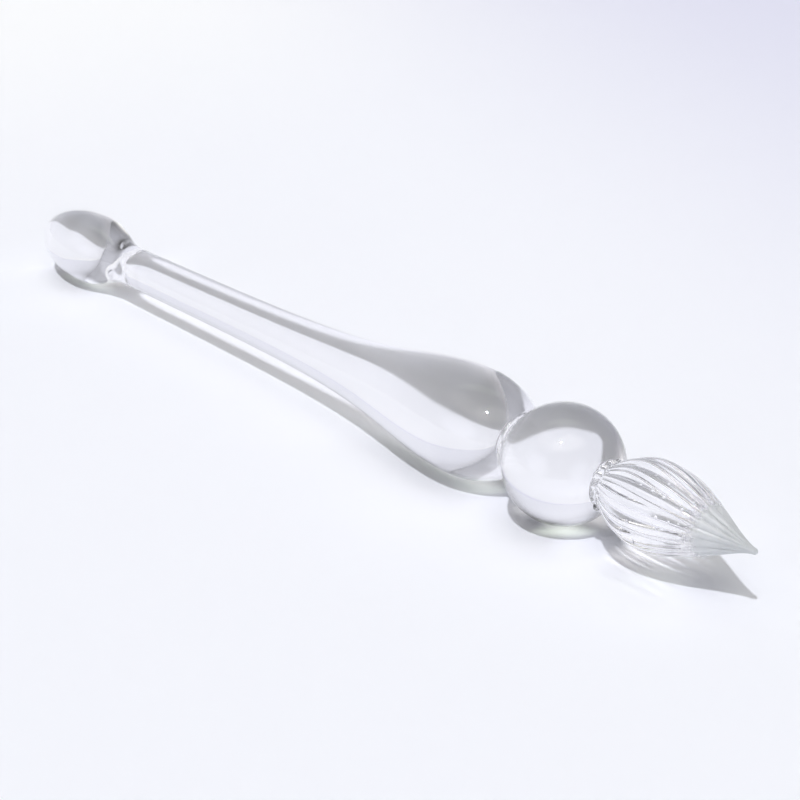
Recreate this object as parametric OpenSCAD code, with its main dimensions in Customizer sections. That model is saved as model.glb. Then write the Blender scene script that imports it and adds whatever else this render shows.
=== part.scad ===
// Dip pen of clear flame-worked glass, lying on a table on its grip ball and its end knob.
// Millimetres, +Z up. The pen lies along X with the nib towards +X.
// Z = 0 is the table, and the origin is under the middle of the pen's length.

/* [Ball] */
// Diameter of the grip ball behind the nib
ball_d = 14; // [12:0.1:16]

/* [Nib] */
// Diameter of the nib's belly over its ribs
nib_d = 10; // [8:0.1:12]
// Length of the nib in front of its belly
nib_front = 13.5; // [10:0.1:18]
// Length of the nib behind its belly, down to its root
nib_back = 6; // [4:0.1:8]
// Diameter of the rounded writing point
point_d = 0.7; // [0.4:0.05:1.2]
// Number of ribs round the nib
rib_count = 15; // [10:1:18]
// Depth of the deepest ink groove at the belly
groove_depth = 0.5; // [0.3:0.05:1]
// Turn of the ribs between root and point, in degrees
rib_twist = 3; // [0:1:60]

/* [Welds] */
// Diameter of the flat faces where nib, bead and ball are melted together
weld_d = 5.5; // [4.5:0.1:6.5]
// Thickness of the crumpled bead between ball and nib
nib_weld_t = 1; // [0.6:0.1:1.6]
// Number of melted lumps round that bead
lump_count = 14; // [7:1:18]
// Diameter of the largest melted lump
lump_d = 1.1; // [0.8:0.1:1.8]
// Diameter of the waist between ball and handle, at both its ends
handle_weld_d = 7.4; // [6:0.1:9]
// Length of that waist
handle_weld_t = 1.1; // [0.6:0.1:2]
// Depth of the hollow round that waist
handle_weld_hollow = 0.2; // [0.1:0.05:0.5]

/* [Handle] */
// Diameter of the bulb behind the ball
bulb_d = 13.4; // [11:0.1:15]
// Length of the bulb's blunt front, from its weld to its widest place
bulb_front = 8.4; // [6:0.1:11]
// Length over which the bulb draws down into the rod
bulb_taper = 22.5; // [16:0.5:28]
// Diameter of the drawn rod
rod_d = 5.8; // [5:0.1:7.5]
// Length of the handle, from its waist to the end knob's weld
handle_length = 81.2; // [65:0.1:105]

/* [End knob] */
// Diameter of the end knob
knob_d = 10.6; // [9:0.1:12]
// Length of the flare from the rod to the knob's widest place
knob_flare = 11; // [8:0.1:16]
// Length of the knob's rounded end, behind its widest place
knob_cap = 11.5; // [5:0.1:14]

/* [Hidden] */
$fn = 96;

ball_r = ball_d / 2;
nib_r = nib_d / 2;
point_r = point_d / 2;
weld_r = weld_d / 2;
handle_weld_r = handle_weld_d / 2;
bulb_r = bulb_d / 2;
rod_r = rod_d / 2;
knob_r = knob_d / 2;

// Places along the axis, measured from the ball's centre, towards the nib or towards the tail.
weld_plane = sqrt(ball_r * ball_r - weld_r * weld_r);
nib_root = weld_plane + nib_weld_t;
nib_length = nib_front + nib_back;
nib_point = nib_root + nib_length;
handle_weld_plane = sqrt(ball_r * ball_r - handle_weld_r * handle_weld_r);
handle_face = handle_weld_plane + handle_weld_t;
bulb_middle = handle_face + bulb_front;
knob_face = handle_face + handle_length;
knob_middle = knob_face + knob_flare;
tail_end = knob_middle + knob_cap;

// The pen lies on its knob and on its ball or bulb, whichever reaches the table first.
ball_slope = (ball_r - knob_r) / knob_middle;
bulb_slope = (bulb_r - knob_r) / (knob_middle - bulb_middle);
lie_slope = max(ball_slope, bulb_slope);
lie_tilt = asin(lie_slope);
ball_z = knob_r + knob_middle * lie_slope;
ball_x = (tail_end - nib_point) / 2 * cos(lie_tilt);

// Shape of the nib's outline: a higher sharpness hollows the point, and a higher fullness the root.
point_sharpness = 1.35;
root_fullness = 1.15;

// Steps along and round the modelled curves.
point_steps = 3;
nib_steps = 32;
rib_steps = 6;
bead_rows = 8;
bead_sides = 140;
waist_steps = 16;
bulb_steps = 20;
taper_steps = 36;
flare_steps = 20;
cap_steps = 16;

// Hand work is uneven: each groove is shallower than the deepest, and each lump smaller than the largest,
// by up to these shares. Lumps also stray from even spacing by up to this many degrees.
groove_spread = 0.4;
lump_spread = 0.55;
lump_stray = 7;
// A turn in degrees that spreads the unevenness, so that neighbours differ.
uneven_turn = 137.5;

bright_glass = [0.93, 0.94, 0.99, 0.5];
milky_glass = [0.82, 0.83, 0.86, 0.6];
seam_glass = [0.74, 0.75, 0.80, 0.6];

// Lays a piece that was built upright about the ball's centre, nib up, down along the table.
module lay() {
    translate([ball_x, 0, ball_z])
        rotate([0, 90 - lie_tilt, 0])
            children();
}

// Turns an outline of [distance from the ball's centre, radius] points about the pen's axis, tailwards.
module turned(outline) {
    first = outline[0][0];
    last = outline[len(outline) - 1][0];
    rotate_extrude()
        polygon([
            [0, -first],
            [0, -last],
            for (i = [len(outline) - 1:-1:0]) if (outline[i][1] > 0) [outline[i][1], -outline[i][0]]
        ]);
}

// Radius over the ribs at a distance behind the point, once the point's own rounding has ended.
function nib_radius(behind) =
    behind < nib_front
    ? point_r + (nib_r - point_r) * pow(sin(90 * (behind - point_r) / (nib_front - point_r)), point_sharpness)
    : weld_r + (nib_r - weld_r) * cos(90 * pow((behind - nib_front) / nib_back, root_fullness));

// Depth of a groove as a share of the nib's radius, by its number.
function groove_share(number) =
    groove_depth / nib_r * (1 - groove_spread * pow(sin(number * uneven_turn), 2));

// Each rib is a rounded ridge, and its two sides run down to sharp grooves.
function rib_share(step) =
    let (across = 2 * (step % rib_steps) / rib_steps - 1, rib = floor(step / rib_steps))
        1 - groove_share(across > 0 ? (rib + 1) % rib_count : rib) * across * across;

// Rings of the nib as [distance behind the point, radius over the ribs], the rounded point first.
nib_rings = [
    for (i = [1:point_steps])
        [point_r * (1 - cos(90 * i / point_steps)), point_r * sin(90 * i / point_steps)],
    for (i = [1:nib_steps])
        let (behind = point_r + (nib_length - point_r) * i / nib_steps)
            [behind, nib_radius(behind)]
];

// A closed skin over rings of points that all have the same count, with a middle point at each end.
module skin(ring_points, sides, front_middle, back_middle) {
    last_ring = 1 + len(ring_points) - sides;
    back = 1 + len(ring_points);
    faces = [
        for (j = [0:sides - 1]) let (k = (j + 1) % sides) [0, 1 + k, 1 + j],
        for (start = [1:sides:last_ring - sides], j = [0:sides - 1])
            let (k = (j + 1) % sides, next = start + sides)
                each [[start + j, start + k, next + k], [start + j, next + k, next + j]],
        for (j = [0:sides - 1]) let (k = (j + 1) % sides) [back, last_ring + j, last_ring + k]
    ];
    polyhedron([front_middle, each ring_points, back_middle], faces);
}

module nib() {
    sides = rib_count * rib_steps;
    ring_points = [
        for (ring = nib_rings, j = [0:sides - 1])
            let (radius = ring[1] * rib_share(j), turn = 360 * j / sides - rib_twist * ring[0] / nib_length)
                [radius * cos(turn), radius * sin(turn), nib_point - ring[0]]
    ];
    color(milky_glass)
        lay()
            skin(ring_points, sides, [0, 0, nib_point], [0, 0, nib_root]);
}

// Radius of a melted lump, and its turn round the bead, by its number.
function lump_radius(number) = lump_d / 2 * (1 - lump_spread * pow(sin(number * uneven_turn), 2));
function lump_turn(number) = 360 * number / lump_count + lump_stray * sin(2 * number * uneven_turn);

// How far a round lump on the bead's core reaches from the axis, at a turn and a rise from the bead's middle.
function lump_reach(number, turn, rise) =
    let (off = turn - lump_turn(number))
    let (left = pow(lump_radius(number), 2) - rise * rise - pow(weld_r * sin(off), 2))
        cos(off) > 0 && left > 0 ? weld_r * cos(off) + sqrt(left) : 0;

function bead_radius(turn, rise) =
    max([weld_r, for (i = [0:lump_count - 1]) lump_reach(i, turn, rise)]);

// The rib ends melt into an uneven ring of lumps where the nib meets the ball.
module nib_weld() {
    ring_points = [
        for (i = [0:bead_rows], j = [0:bead_sides - 1])
            let (rise = nib_weld_t * (0.5 - i / bead_rows), turn = 360 * j / bead_sides)
            let (radius = bead_radius(turn, rise))
                [radius * cos(turn), radius * sin(turn), nib_root - nib_weld_t / 2 + rise]
    ];
    color(seam_glass)
        lay()
            skin(ring_points, bead_sides, [0, 0, nib_root], [0, 0, weld_plane]);
}

module ball() {
    color(bright_glass)
        lay()
            intersection() {
                sphere(r = ball_r);
                translate([0, 0, -handle_weld_plane])
                    cylinder(d = 2 * ball_d, h = handle_weld_plane + weld_plane);
            }
}

// A smooth waist, hollowed most at its middle.
module handle_weld() {
    rim = [
        for (i = [0:waist_steps]) let (share = i / waist_steps, hollow = 4 * share * (1 - share))
            [handle_weld_plane + handle_weld_t * share, handle_weld_r - handle_weld_hollow * hollow]
    ];
    color(seam_glass)
        lay()
            turned(rim);
}

// Radius of the handle at a distance behind the bulb's widest place.
function drawn_radius(behind) = rod_r + (bulb_r - rod_r) / pow(1 + pow(behind / bulb_taper, 2), 2);

// Blunt front along an ellipse that the waist cuts off, then a long bell-shaped draw into the rod.
module handle() {
    drawn_length = handle_length - bulb_front;
    front_turn = acos(handle_weld_r / bulb_r);
    front = [
        for (i = [0:bulb_steps]) let (turn = front_turn * (1 - i / bulb_steps))
            [bulb_middle - bulb_front * sin(turn) / sin(front_turn), bulb_r * cos(turn)]
    ];
    drawn = [
        for (i = [1:taper_steps]) let (behind = drawn_length * i / taper_steps)
            [bulb_middle + behind, drawn_radius(behind)]
    ];
    color(bright_glass)
        lay()
            turned(concat(front, drawn));
}

// The flare rises from the rod in a smooth S, and the end is half an ellipsoid.
module end_knob() {
    start_r = drawn_radius(handle_length - bulb_front);
    flare = [
        for (i = [0:flare_steps]) let (share = i / flare_steps)
            [knob_face + knob_flare * share, start_r + (knob_r - start_r) * pow(sin(90 * share), 2)]
    ];
    cap = [
        for (i = [1:cap_steps]) let (turn = 90 * i / cap_steps)
            [knob_middle + knob_cap * sin(turn), i < cap_steps ? knob_r * cos(turn) : 0]
    ];
    color(bright_glass)
        lay()
            turned(concat(flare, cap));
}

nib();
nib_weld();
ball();
handle_weld();
handle();
end_knob();
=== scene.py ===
"""Looks of the glass dip pen: smooth glass in place of the solids, a white table and a small bright lamp.

Metres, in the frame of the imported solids. The outlines repeat the formulas and sizes of the part's source.
"""

import math

import bpy
from mathutils import Matrix, Vector


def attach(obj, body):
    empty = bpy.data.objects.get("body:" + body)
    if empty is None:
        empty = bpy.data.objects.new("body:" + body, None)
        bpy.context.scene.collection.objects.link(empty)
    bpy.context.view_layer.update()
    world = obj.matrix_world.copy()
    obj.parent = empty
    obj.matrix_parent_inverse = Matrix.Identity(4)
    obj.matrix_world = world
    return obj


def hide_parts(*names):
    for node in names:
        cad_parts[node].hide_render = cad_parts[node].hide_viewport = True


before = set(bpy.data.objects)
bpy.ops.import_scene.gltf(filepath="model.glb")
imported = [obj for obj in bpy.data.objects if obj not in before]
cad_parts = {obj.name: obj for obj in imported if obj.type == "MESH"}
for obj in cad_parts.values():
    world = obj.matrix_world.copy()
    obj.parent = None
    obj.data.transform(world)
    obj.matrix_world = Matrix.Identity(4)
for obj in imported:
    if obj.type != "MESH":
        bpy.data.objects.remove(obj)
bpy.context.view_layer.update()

MM = 0.001
QUARTER_TURN = math.pi / 2
FULL_TURN = 2 * math.pi

# Sizes of the pen, as in the part's source.
BALL_R = 7.0 * MM
NIB_R = 5.0 * MM
NIB_FRONT = 13.5 * MM
NIB_BACK = 6.0 * MM
POINT_R = 0.35 * MM
RIB_COUNT = 15
GROOVE_DEPTH = 0.5 * MM
RIB_TWIST = math.radians(3)
WELD_R = 2.75 * MM
NIB_WELD_T = 1.0 * MM
LUMP_COUNT = 14
LUMP_D = 1.1 * MM
HANDLE_WELD_R = 3.7 * MM
HANDLE_WELD_T = 1.1 * MM
HANDLE_WELD_HOLLOW = 0.2 * MM
BULB_R = 6.7 * MM
BULB_FRONT = 8.4 * MM
BULB_TAPER = 22.5 * MM
ROD_R = 2.9 * MM
HANDLE_LENGTH = 81.2 * MM
KNOB_R = 5.3 * MM
KNOB_FLARE = 11.0 * MM
KNOB_CAP = 11.5 * MM
POINT_SHARPNESS = 1.35
ROOT_FULLNESS = 1.15
GROOVE_SPREAD = 0.4
LUMP_SPREAD = 0.55
LUMP_STRAY = math.radians(7)
UNEVEN_TURN = math.radians(137.5)

# Length of the nib's front that is ground dull.
GROUND_FRONT = 6.2 * MM

# Bubbles shut in the nib, drawn as white specks that are painted glints: millimetres behind the point,
# degrees round the axis, millimetres across.
NIB_GLINT_BUBBLES = (
    (13.3, 217, 0.3), (11.7, 217, 0.4), (10.9, 216, 0.25), (10.3, 218, 0.35), (8.1, 221, 0.35),
    (10.2, 249, 0.35), (8.8, 250, 0.3), (13.4, 271, 0.4), (9.9, 267, 0.35), (12.6, 195, 0.25),
    (10.8, 196, 0.35), (7.6, 196, 0.35), (13.0, 304, 0.35), (14.7, 296, 0.3), (14.1, 193, 0.25),
    (12.0, 40, 0.3), (9.5, 85, 0.25), (14.0, 130, 0.35),
)
# How far out they lie, as a share of the nib's radius there.
NIB_BUBBLE_REACH = 0.86

# Bubbles shut in the bead between nib and ball.
BEAD_BUBBLE_COUNT = 9
BEAD_BUBBLE_D = 0.45 * MM
BEAD_BUBBLE_SPREAD = 0.5
BEAD_BUBBLE_STRAY = 0.3
BEAD_BUBBLES_FROM = 0.7 * WELD_R
BEAD_BUBBLES_TO = 0.9 * WELD_R

# What surrounds the table, as soft patches: degrees round from the nib's side and up to the patch's middle,
# half its width and half its height in degrees, and its brightness.
WALLS = (
    (127, 2, 60, 29, 0.77),  # wall behind
    (154, 45, 19, 20, 0.48),  # upper wall
    (219, 15, 27, 25, 0.37),  # side wall beyond the tail
    (263, 15, 19, 18, 1.25),  # window in front, left
    (344, 9, 18, 18, 1.05),  # window beyond the nib
)
OVERHEAD = (
    (333, 66, 26, 14, 1.7),  # near the lamp
    (252, 61, 26, 13, 0.95),  # front left
)
STRIPS = (
    (137, 68, 22, 7, 1.15),  # behind
)
WALL_TINT = (0.99, 1.01, 1.12)
OVERHEAD_TINT = (1.03, 1.0, 0.94)
STRIP_TINT = (0.96, 1.05, 0.87)
ROOM_LEVEL = 0.05
CEILING_LEVEL = 0.6
BACKDROP = (0.9, 0.92, 0.97, 1)

LAMP_STRENGTH = 1.5
LAMP_WIDTH = math.radians(2.3)
LAMP_TINT = (0.97, 0.985, 1.05)
TOWARDS_LAMP = Vector((0.2066, -0.34, 0.9174))

# Places along the axis, measured from the ball's centre towards the nib or towards the tail.
WELD_PLANE = math.sqrt(BALL_R ** 2 - WELD_R ** 2)
NIB_ROOT = WELD_PLANE + NIB_WELD_T
NIB_LENGTH = NIB_FRONT + NIB_BACK
NIB_POINT = NIB_ROOT + NIB_LENGTH
HANDLE_WELD_PLANE = math.sqrt(BALL_R ** 2 - HANDLE_WELD_R ** 2)
HANDLE_FACE = HANDLE_WELD_PLANE + HANDLE_WELD_T
BULB_MIDDLE = HANDLE_FACE + BULB_FRONT
KNOB_FACE = HANDLE_FACE + HANDLE_LENGTH
KNOB_MIDDLE = KNOB_FACE + KNOB_FLARE
TAIL_END = KNOB_MIDDLE + KNOB_CAP

# The pen lies on its knob and on its ball or bulb, whichever reaches the table first.
BALL_SLOPE = (BALL_R - KNOB_R) / KNOB_MIDDLE
BULB_SLOPE = (BULB_R - KNOB_R) / (KNOB_MIDDLE - BULB_MIDDLE)
LIE_SLOPE = max(BALL_SLOPE, BULB_SLOPE)
LIE_TILT = math.asin(LIE_SLOPE)
BALL_CENTRE = Vector((
    (TAIL_END - NIB_POINT) / 2 * math.cos(LIE_TILT),
    0,
    KNOB_R + KNOB_MIDDLE * LIE_SLOPE,
))
NIB_AXIS = Vector((math.cos(LIE_TILT), 0, math.sin(LIE_TILT)))
# Where along that axis the ground front begins, measured from the origin.
GROUND_EDGE = BALL_CENTRE.dot(NIB_AXIS) + NIB_POINT - GROUND_FRONT
# Lays a piece that was built upright about the ball's centre, nib up, down along the table.
LAY = Matrix.Translation(BALL_CENTRE) @ Matrix.Rotation(QUARTER_TURN - LIE_TILT, 4, "Y")

# Numbers of the materials on each piece.
SKIN = 0
FUSED = 1
SPECK = 2


class Field:
    """A shader socket that takes part in sums and makes the nodes around it."""

    def __init__(self, tree, socket=None):
        self.tree = tree
        self.socket = socket

    def node(self, kind, settings=None, inputs=None, output=0):
        made = self.tree.nodes.new(kind)
        for name, value in (settings or {}).items():
            setattr(made, name, value)
        for name, value in (inputs or {}).items():
            if isinstance(value, Field):
                self.tree.links.new(value.socket, made.inputs[name])
            else:
                made.inputs[name].default_value = value
        return Field(self.tree, made.outputs[output] if made.outputs else None)

    def sum(self, operation, *values):
        return self.node("ShaderNodeMath", {"operation": operation}, dict(enumerate(values)))

    def __add__(self, other):
        return self.sum("ADD", self, other)

    def __radd__(self, other):
        return self.sum("ADD", other, self)

    def __sub__(self, other):
        return self.sum("SUBTRACT", self, other)

    def __rsub__(self, other):
        return self.sum("SUBTRACT", other, self)

    def __mul__(self, other):
        return self.sum("MULTIPLY", self, other)

    def __rmul__(self, other):
        return self.sum("MULTIPLY", other, self)

    def __truediv__(self, other):
        return self.sum("DIVIDE", self, other)

    def __rtruediv__(self, other):
        return self.sum("DIVIDE", other, self)

    def __pow__(self, other):
        return self.sum("POWER", self, other)

    def __rpow__(self, other):
        return self.sum("POWER", other, self)

    def place(self):
        """The place on the piece."""
        return self.node("ShaderNodeTexCoord", output="Object")

    def dot(self, direction):
        """How far this vector reaches in a direction."""
        return self.node(
            "ShaderNodeVectorMath",
            {"operation": "DOT_PRODUCT"},
            {0: self, 1: direction},
            output="Value",
        )

    def ramp(self, low, high):
        """0 below low, 1 above high and a smooth step between them."""
        return self.node(
            "ShaderNodeMapRange",
            {"interpolation_type": "SMOOTHSTEP"},
            {"Value": self, "From Min": low, "From Max": high},
        )

    def mix(self, first, second):
        """A colour between first and second, by this share."""
        return self.node("ShaderNodeMix", {"data_type": "RGBA"}, {0: self, 6: first, 7: second}, output=2)

    def tinted(self, colour):
        """A colour at this brightness."""
        return self.node("ShaderNodeVectorMath", {"operation": "SCALE"}, {0: colour, "Scale": self})

    def noise(self, scale, detail):
        """Uneven values between 0 and 1 at this place. A higher scale is finer."""
        return self.node("ShaderNodeTexNoise", {}, {"Vector": self, "Scale": scale, "Detail": detail})

    def bumps(self, strength, depth):
        """The surface's direction, with this height as its relief."""
        return self.node("ShaderNodeBump", {}, {"Height": self, "Strength": strength, "Distance": depth})

    def surface(self):
        """Shows this shader on the material's surface."""
        self.node("ShaderNodeOutputMaterial", {}, {"Surface": self})


# Materials

def new_material(name):
    """A material and its empty tree."""
    material = bpy.data.materials.new(name)
    material.use_nodes = True
    material.node_tree.nodes.clear()
    return material, Field(material.node_tree)


def weld_face():
    """Where two pieces are melted together the glass has no boundary, so these faces show nothing."""
    material, tree = new_material("weld_face")
    tree.node("ShaderNodeBsdfPrincipled", {}, {"Base Color": (1, 1, 1, 1), "Alpha": 0.0}).surface()
    return material


def lamp_light(tree, low, high):
    """Opacity of the glass. In the lamp's shadow it is clear where the light falls on it steeply and goes
    nearly straight through, and dark where the light is bent away. For all that is seen it is 1."""
    steep = 1 - tree.node("ShaderNodeLayerWeight", {}, {"Blend": 0.5}, output="Facing")
    shadow = tree.node("ShaderNodeLightPath", output="Is Shadow Ray")
    return 1 - steep.ramp(low, high) * shadow


def glass(tree, settings):
    """Solid clear glass, with some of its sockets set otherwise."""
    inputs = {
        "Base Color": (0.99, 0.985, 1.0, 1),
        "IOR": 1.5,
        "Transmission Weight": 1.0,
    }
    inputs.update(settings)
    return tree.node("ShaderNodeBsdfPrincipled", {}, inputs)


def clear_glass():
    """Fire-polished glass with faint waves along the draw and a thin film of handling. Along the slim rod the
    lamp's light goes through more easily."""
    material, tree = new_material("clear_glass")
    place = tree.place()
    drawn_out = tree.node("ShaderNodeVectorMath", {"operation": "MULTIPLY"}, {0: place, 1: (0.25, 1, 1)})
    waves = drawn_out.noise(scale=220.0, detail=1.0)
    film = place.noise(scale=500.0, detail=3.0).ramp(0.45, 0.75)
    tailward = place.dot((-1, 0, 0))
    behind_bulb = tailward.ramp(-30 * MM, 0.0)
    at_knob = tailward.ramp(40 * MM, 50 * MM)
    rod = behind_bulb * (1 - at_knob)
    glass(tree, {
        "Roughness": 0.03 + film * 0.015,
        "Alpha": lamp_light(tree, 0.93 - 0.13 * rod, 0.99 - 0.04 * rod),
        "Normal": waves.bumps(strength=0.05, depth=0.5 * MM),
    }).surface()
    return material


def weld_glass():
    """Glass that was melted together: uneven, a little dulled and full of small dimples."""
    material, tree = new_material("weld_glass")
    place = tree.place()
    dimples = place.noise(scale=1800.0, detail=2.0)
    dull = place.noise(scale=900.0, detail=2.0).ramp(0.4, 0.7)
    glass(tree, {
        "Roughness": 0.03 + dull * 0.12,
        "Alpha": lamp_light(tree, 0.6, 0.95),
        "Normal": dimples.bumps(strength=0.3, depth=0.3 * MM),
    }).surface()
    return material


def painted_glint_bubble():
    """Painted glints: small white specks in place of bubbles that catch the lamp, white under any light."""
    material, tree = new_material("painted_glint_bubble")
    place = tree.place()
    white = place.noise(scale=4000.0, detail=1.0).mix((0.92, 0.92, 0.94, 1), (0.98, 0.98, 1.0, 1))
    tree.node("ShaderNodeBsdfPrincipled", {}, {"Base Color": white, "Roughness": 0.5}).surface()
    return material


def nib_glass():
    """Clear ribbed glass, ground dull and milky over the front third of the nib."""
    material, tree = new_material("nib_glass")
    place = tree.place()
    grain = place.noise(scale=6000.0, detail=2.0)
    along = place.dot(NIB_AXIS) + (grain - 0.5) * (0.4 * MM)
    ground = along.ramp(GROUND_EDGE - 0.4 * MM, GROUND_EDGE + 0.6 * MM)
    clear = glass(tree, {"Roughness": 0.03 + grain * 0.01, "Alpha": lamp_light(tree, 0.8, 0.95)})
    milky = glass(tree, {
        "Base Color": grain.mix((0.64, 0.66, 0.665, 1), (0.71, 0.725, 0.73, 1)),
        "Roughness": 0.35 + grain * 0.2,
        "Transmission Weight": 0.25,
        "Subsurface Weight": 1.0,
        "Subsurface Radius": (1.0, 1.0, 1.0),
        "Subsurface Scale": 0.7 * MM,
        "Normal": grain.bumps(strength=0.2, depth=0.1 * MM),
    })
    tree.node("ShaderNodeMixShader", {}, {0: ground * 0.9, 1: clear, 2: milky}).surface()
    return material


# Meshes, built upright about the ball's centre with the nib up

def round_point(r, turn, along):
    """A point at a distance from the axis and a turn round it."""
    return (r * math.cos(turn), r * math.sin(turn), along)


def even_turns(sides):
    return [FULL_TURN * j / sides for j in range(sides)]


def ring_faces(rows, sides):
    """Faces over a start point, rows of rings and an end point, numbered in that order."""
    faces = [(0, 1 + j, 1 + (j + 1) % sides) for j in range(sides)]
    for i in range(rows - 1):
        front = 1 + i * sides
        back = front + sides
        for j in range(sides):
            k = (j + 1) % sides
            faces.append((front + j, back + j, back + k, front + k))
    last = 1 + (rows - 1) * sides
    end = last + sides
    faces += [(end, last + (j + 1) % sides, last + j) for j in range(sides)]
    return faces


def bubble_skin(middle, radius):
    """Points and faces of a small ball."""
    rows = 9
    sides = 16
    middle = Vector(middle)
    points = [middle + Vector((0, 0, radius))]
    for i in range(1, rows + 1):
        tilt = math.pi * i / (rows + 1)
        for turn in even_turns(sides):
            points.append(middle + radius * Vector(round_point(math.sin(tilt), turn, math.cos(tilt))))
    points.append(middle - Vector((0, 0, radius)))
    return points, ring_faces(rows, sides)


def closed_mesh(name, rings, start, end, materials, caps, bubbles=()):
    """A closed skin over rings of points that all have the same count, with a fan at each end. start and end
    are the fans' places on the axis, and caps are the fans' materials. Each bubble inside is a middle, a
    radius and a material, and its faces look inwards."""
    sides = len(rings[0])
    points = [(0, 0, start)]
    for ring in rings:
        points += ring
    points.append((0, 0, end))
    faces = ring_faces(len(rings), sides)
    slots = [caps[0]] * sides + [SKIN] * (len(faces) - 2 * sides) + [caps[1]] * sides
    for middle, radius, slot in bubbles:
        round_points, round_faces = bubble_skin(middle, radius)
        for face in round_faces:
            faces.append(tuple(len(points) + number for number in reversed(face)))
            slots.append(slot)
        points += round_points
    mesh = bpy.data.meshes.new(name)
    mesh.from_pydata(points, [], faces)
    mesh.update()
    mesh.transform(LAY)
    mesh.polygons.foreach_set("material_index", slots)
    mesh.polygons.foreach_set("use_smooth", [True] * len(faces))
    mesh.set_sharp_from_angle(angle=math.radians(50))
    for material in materials:
        mesh.materials.append(material)
    piece = bpy.data.objects.new(name, mesh)
    bpy.context.scene.collection.objects.link(piece)
    return piece


def turned(name, outline, materials, sides=128, caps=(FUSED, FUSED)):
    """A piece turned about the pen's axis, from (place towards the nib, radius) points that run tailwards."""
    rings = []
    for along, r in outline:
        if r > 0:
            rings.append([round_point(r, turn, along) for turn in even_turns(sides)])
    return closed_mesh(name, rings, outline[0][0], outline[-1][0], materials, caps)


def nib_radius(behind):
    """Radius over the ribs at a distance behind the point, once the point's own rounding has ended."""
    if behind < NIB_FRONT:
        share = (behind - POINT_R) / (NIB_FRONT - POINT_R)
        return POINT_R + (NIB_R - POINT_R) * math.sin(QUARTER_TURN * share) ** POINT_SHARPNESS
    share = min((behind - NIB_FRONT) / NIB_BACK, 1.0)
    return WELD_R + (NIB_R - WELD_R) * math.cos(QUARTER_TURN * share ** ROOT_FULLNESS)


def rib_shares(rib_steps):
    """Radius round the nib as a share of the radius over its ribs: round ridges and sharp uneven grooves."""
    shares = []
    for j in range(RIB_COUNT * rib_steps):
        across = 2 * (j % rib_steps) / rib_steps - 1
        groove = (j // rib_steps + (across > 0)) % RIB_COUNT
        depth = GROOVE_DEPTH * (1 - GROOVE_SPREAD * math.sin(groove * UNEVEN_TURN) ** 2)
        shares.append(1 - depth / NIB_R * across ** 2)
    return shares


# White specks in the nib, painted glints where bubbles would catch the lamp.
def nib_glint_bubbles():
    bubbles = []
    for behind, turn, across in NIB_GLINT_BUBBLES:
        behind = behind * MM
        r = NIB_BUBBLE_REACH * nib_radius(behind)
        middle = round_point(r, math.radians(turn), NIB_POINT - behind)
        bubbles.append((middle, across / 2 * MM, SPECK))
    return bubbles


def nib_piece(materials):
    point_rows = 8
    rows = 160
    profile = []
    for i in range(1, point_rows + 1):
        turn = QUARTER_TURN * i / point_rows
        profile.append((POINT_R * (1 - math.cos(turn)), POINT_R * math.sin(turn)))
    for i in range(1, rows + 1):
        behind = POINT_R + (NIB_LENGTH - POINT_R) * i / rows
        profile.append((behind, nib_radius(behind)))
    shares = rib_shares(rib_steps=24)
    turns = even_turns(len(shares))
    rings = []
    for behind, radius in profile:
        twist = RIB_TWIST * behind / NIB_LENGTH
        along = NIB_POINT - behind
        rings.append([round_point(radius * share, turn - twist, along) for share, turn in zip(shares, turns)])
    return closed_mesh("nib_glass", rings, NIB_POINT, NIB_ROOT, materials, (SKIN, FUSED), nib_glint_bubbles())


def bead_radius(turn, rise):
    """Reach of the bead's core or of the round lump on it that stands out most, at a rise from its middle."""
    r = WELD_R
    for lump in range(LUMP_COUNT):
        lump_r = LUMP_D / 2 * (1 - LUMP_SPREAD * math.sin(lump * UNEVEN_TURN) ** 2)
        off = turn - FULL_TURN * lump / LUMP_COUNT - LUMP_STRAY * math.sin(2 * lump * UNEVEN_TURN)
        left = lump_r ** 2 - rise ** 2 - (WELD_R * math.sin(off)) ** 2
        if math.cos(off) > 0 and left > 0:
            r = max(r, WELD_R * math.cos(off) + math.sqrt(left))
    return r


def bead_bubbles():
    """Small bubbles that the bead shut in, in an uneven ring."""
    bubbles = []
    for i in range(BEAD_BUBBLE_COUNT):
        turn = FULL_TURN * i / BEAD_BUBBLE_COUNT + BEAD_BUBBLE_STRAY * math.sin(2 * i * UNEVEN_TURN)
        share = math.sin(i * UNEVEN_TURN) ** 2
        r = BEAD_BUBBLES_FROM + (BEAD_BUBBLES_TO - BEAD_BUBBLES_FROM) * share
        middle = round_point(r, turn, NIB_ROOT - NIB_WELD_T / 2)
        bubbles.append((middle, BEAD_BUBBLE_D / 2 * (1 - BEAD_BUBBLE_SPREAD * share), SKIN))
    return bubbles


def nib_weld_piece(materials):
    sides = 176
    rows = 24
    rings = []
    for i in range(rows + 1):
        height = NIB_WELD_T * i / rows
        rise = height - NIB_WELD_T / 2
        along = NIB_ROOT - height
        rings.append([round_point(bead_radius(turn, rise), turn, along) for turn in even_turns(sides)])
    caps = (FUSED, FUSED)
    return closed_mesh("nib_weld_glass", rings, NIB_ROOT, WELD_PLANE, materials, caps, bead_bubbles())


def ball_piece(materials):
    rows = 96
    first = math.acos(WELD_PLANE / BALL_R)
    last = math.acos(-HANDLE_WELD_PLANE / BALL_R)
    outline = []
    for i in range(rows + 1):
        turn = first + (last - first) * i / rows
        outline.append((BALL_R * math.cos(turn), BALL_R * math.sin(turn)))
    return turned("ball_glass", outline, materials, sides=160)


def handle_weld_piece(materials):
    """A smooth waist, hollowed most at its middle."""
    rows = 48
    outline = []
    for i in range(rows + 1):
        share = i / rows
        hollow = HANDLE_WELD_HOLLOW * 4 * share * (1 - share)
        outline.append((-HANDLE_WELD_PLANE - HANDLE_WELD_T * share, HANDLE_WELD_R - hollow))
    return turned("handle_weld_glass", outline, materials)


def drawn_radius(behind):
    """Radius of the handle at a distance behind the bulb's widest place."""
    return ROD_R + (BULB_R - ROD_R) / (1 + (behind / BULB_TAPER) ** 2) ** 2


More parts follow.
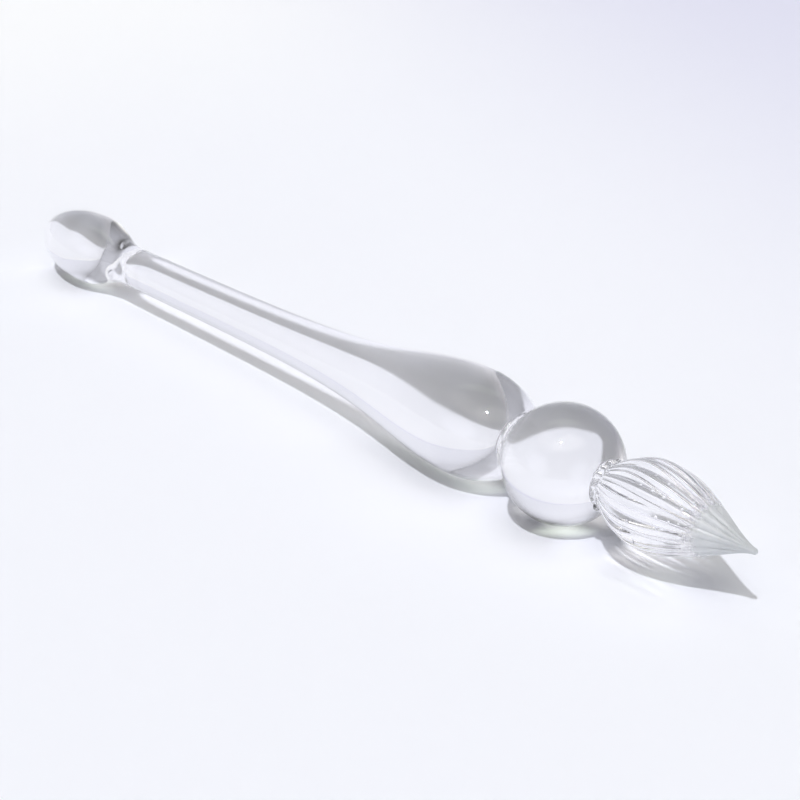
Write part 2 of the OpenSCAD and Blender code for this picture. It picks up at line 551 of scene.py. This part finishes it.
def handle_piece(materials):
    """Blunt front along an ellipse that the waist cuts off, then a long bell-shaped draw into the rod."""
    front_rows = 48
    drawn_rows = 160
    front_turn = math.acos(HANDLE_WELD_R / BULB_R)
    drawn_length = HANDLE_LENGTH - BULB_FRONT
    outline = []
    for i in range(front_rows + 1):
        turn = front_turn * (1 - i / front_rows)
        ahead = BULB_FRONT * math.sin(turn) / math.sin(front_turn)
        outline.append((ahead - BULB_MIDDLE, BULB_R * math.cos(turn)))
    for i in range(1, drawn_rows + 1):
        behind = drawn_length * i / drawn_rows
        outline.append((-BULB_MIDDLE - behind, drawn_radius(behind)))
    return turned("handle_glass", outline, materials)


def end_knob_piece(materials):
    """The flare rises from the rod in a smooth S, and the end is half an ellipsoid."""
    rows = 60
    start_r = drawn_radius(HANDLE_LENGTH - BULB_FRONT)
    outline = []
    for i in range(rows + 1):
        share = i / rows
        r = start_r + (KNOB_R - start_r) * math.sin(QUARTER_TURN * share) ** 2
        outline.append((-KNOB_FACE - KNOB_FLARE * share, r))
    for i in range(1, rows):
        turn = QUARTER_TURN * i / rows
        outline.append((-KNOB_MIDDLE - KNOB_CAP * math.sin(turn), KNOB_R * math.cos(turn)))
    outline.append((-TAIL_END, 0.0))
    return turned("end_knob_glass", outline, materials, caps=(FUSED, SKIN))


# Stage

def table():
    """A white table top with painted light making it brighter towards the tail, and painted shade making it
    dimmer towards the far right.
    """
    half = 3.0
    near_colour = (0.925, 0.935, 0.98, 1)
    tail_painted_light_colour = (0.98, 0.985, 0.99, 1)
    far_painted_shade_colour = (0.76, 0.76, 0.88, 1)
    corners = [(-half, -half, 0), (half, -half, 0), (half, half, 0), (-half, half, 0)]
    mesh = bpy.data.meshes.new("table")
    mesh.from_pydata(corners, [], [(0, 1, 2, 3)])
    floor = bpy.data.objects.new("table", mesh)
    bpy.context.scene.collection.objects.link(floor)
    material, tree = new_material("table")
    place = tree.place()
    # Painted light towards the tail and painted shade towards the far right, in the table's colour.
    tailward = place.dot((-1, 0, 0)).ramp(0.06, 0.24)
    far = place.dot((0.342, 0.94, 0)).ramp(0.03, 0.18)
    tree.node("ShaderNodeBsdfPrincipled", {}, {
        "Base Color": far.mix(tailward.mix(near_colour, tail_painted_light_colour), far_painted_shade_colour),
        "Roughness": 0.9,
        "Specular IOR Level": 0.0,
    }).surface()
    mesh.materials.append(material)


def lamp():
    """The small bright lamp that throws the shadow."""
    data = bpy.data.lights.new("lamp", "SUN")
    data.energy = LAMP_STRENGTH
    data.color = LAMP_TINT
    data.angle = LAMP_WIDTH
    light = bpy.data.objects.new("lamp", data)
    bpy.context.scene.collection.objects.link(light)
    light.rotation_euler = TOWARDS_LAMP.to_track_quat("Z", "Y").to_euler()


def soft_patch(toward, turn, height, half_width, half_height):
    """1 in a patch of the surroundings and 0 outside it, with soft edges."""
    turn = math.radians(turn)
    height = math.radians(height)
    middle = Vector(round_point(math.cos(height), turn, math.sin(height)))
    along = Vector((-math.sin(turn), math.cos(turn), 0))
    wide = toward.dot(along) / math.sin(math.radians(half_width))
    tall = toward.dot(middle.cross(along)) / math.sin(math.radians(half_height))
    inside = 1 - (wide ** 2 + tall ** 2).ramp(0.1, 1.9)
    return inside * toward.dot(middle).ramp(0.0, 0.1)


def room():
    """A dim room with pale walls and soft overhead lights, which the glass gathers and shows. The camera
    itself sees a plain pale backdrop."""
    world = bpy.data.worlds.new("room")
    bpy.context.scene.world = world
    world.use_nodes = True
    world.node_tree.nodes.clear()
    tree = Field(world.node_tree)
    toward = tree.node("ShaderNodeTexCoord", output="Generated")
    ceiling = toward.dot((0, 0, 1)).ramp(0.93, 0.99)
    colour = (ROOM_LEVEL + CEILING_LEVEL * ceiling).tinted(OVERHEAD_TINT)
    for tint, patches in ((WALL_TINT, WALLS), (OVERHEAD_TINT, OVERHEAD), (STRIP_TINT, STRIPS)):
        for *place, brightness in patches:
            patch = (soft_patch(toward, *place) * brightness).tinted(tint)
            colour = tree.node("ShaderNodeVectorMath", {"operation": "ADD"}, {0: colour, 1: patch})
    seen = tree.node("ShaderNodeLightPath", output="Is Camera Ray")
    light = tree.node("ShaderNodeBackground", {}, {"Color": seen.mix(colour, BACKDROP), "Strength": 1.0})
    tree.node("ShaderNodeOutputWorld", {}, {"Surface": light})


def camera():
    """The photo's view. Its place is measured from the ball's centre."""
    place = Vector((115.606, -120.197, 90.470)) * MM
    right = Vector((0.65241, 0.75733, -0.02851))
    up = Vector((-0.31906, 0.3086, 0.89608))
    back = Vector((0.68743, -0.57551, 0.44297))
    data = bpy.data.cameras.new("camera")
    data.sensor_width = 36.0
    data.lens = 76.5
    data.clip_start = 0.01
    data.clip_end = 20.0
    view = bpy.data.objects.new("camera", data)
    bpy.context.scene.collection.objects.link(view)
    turn = Matrix((right, up, back)).transposed()
    view.matrix_world = Matrix.Translation(BALL_CENTRE + place) @ turn.to_4x4()
    bpy.context.scene.camera = view


scene = bpy.context.scene
scene.view_settings.view_transform = "Standard"

fused = weld_face()
clear = clear_glass()
melted = weld_glass()
ribbed = nib_glass()
# White specks that are painted glints in the nib.
speck = painted_glint_bubble()

pieces = [
    (nib_piece([ribbed, fused, speck]), "nib", "nib_glass"),
    (nib_weld_piece([melted, fused]), "nib_weld", "weld_glass"),
    (ball_piece([clear, fused]), "ball", "clear_glass"),
    (handle_weld_piece([melted, fused]), "handle_weld", "weld_glass"),
    (handle_piece([clear, fused]), "handle", "clear_glass"),
    (end_knob_piece([clear, fused]), "end_knob", "clear_glass"),
]
for piece, node, slot in pieces:
    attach(piece, "root")
    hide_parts(node)

table()
lamp()
room()
camera()

# Bounces enough for light that goes through several pieces of glass.
scene.cycles.max_bounces = 48
scene.cycles.glossy_bounces = 48
scene.cycles.transmission_bounces = 48
scene.cycles.transparent_max_bounces = 24
# Guided paths find the light that the glass gathers on the table. Stray bright dots are held down.
scene.cycles.use_guiding = True
scene.cycles.use_surface_guiding = True
scene.cycles.guiding_training_samples = 0
scene.cycles.blur_glossy = 0.0
scene.cycles.sample_clamp_indirect = 4.0
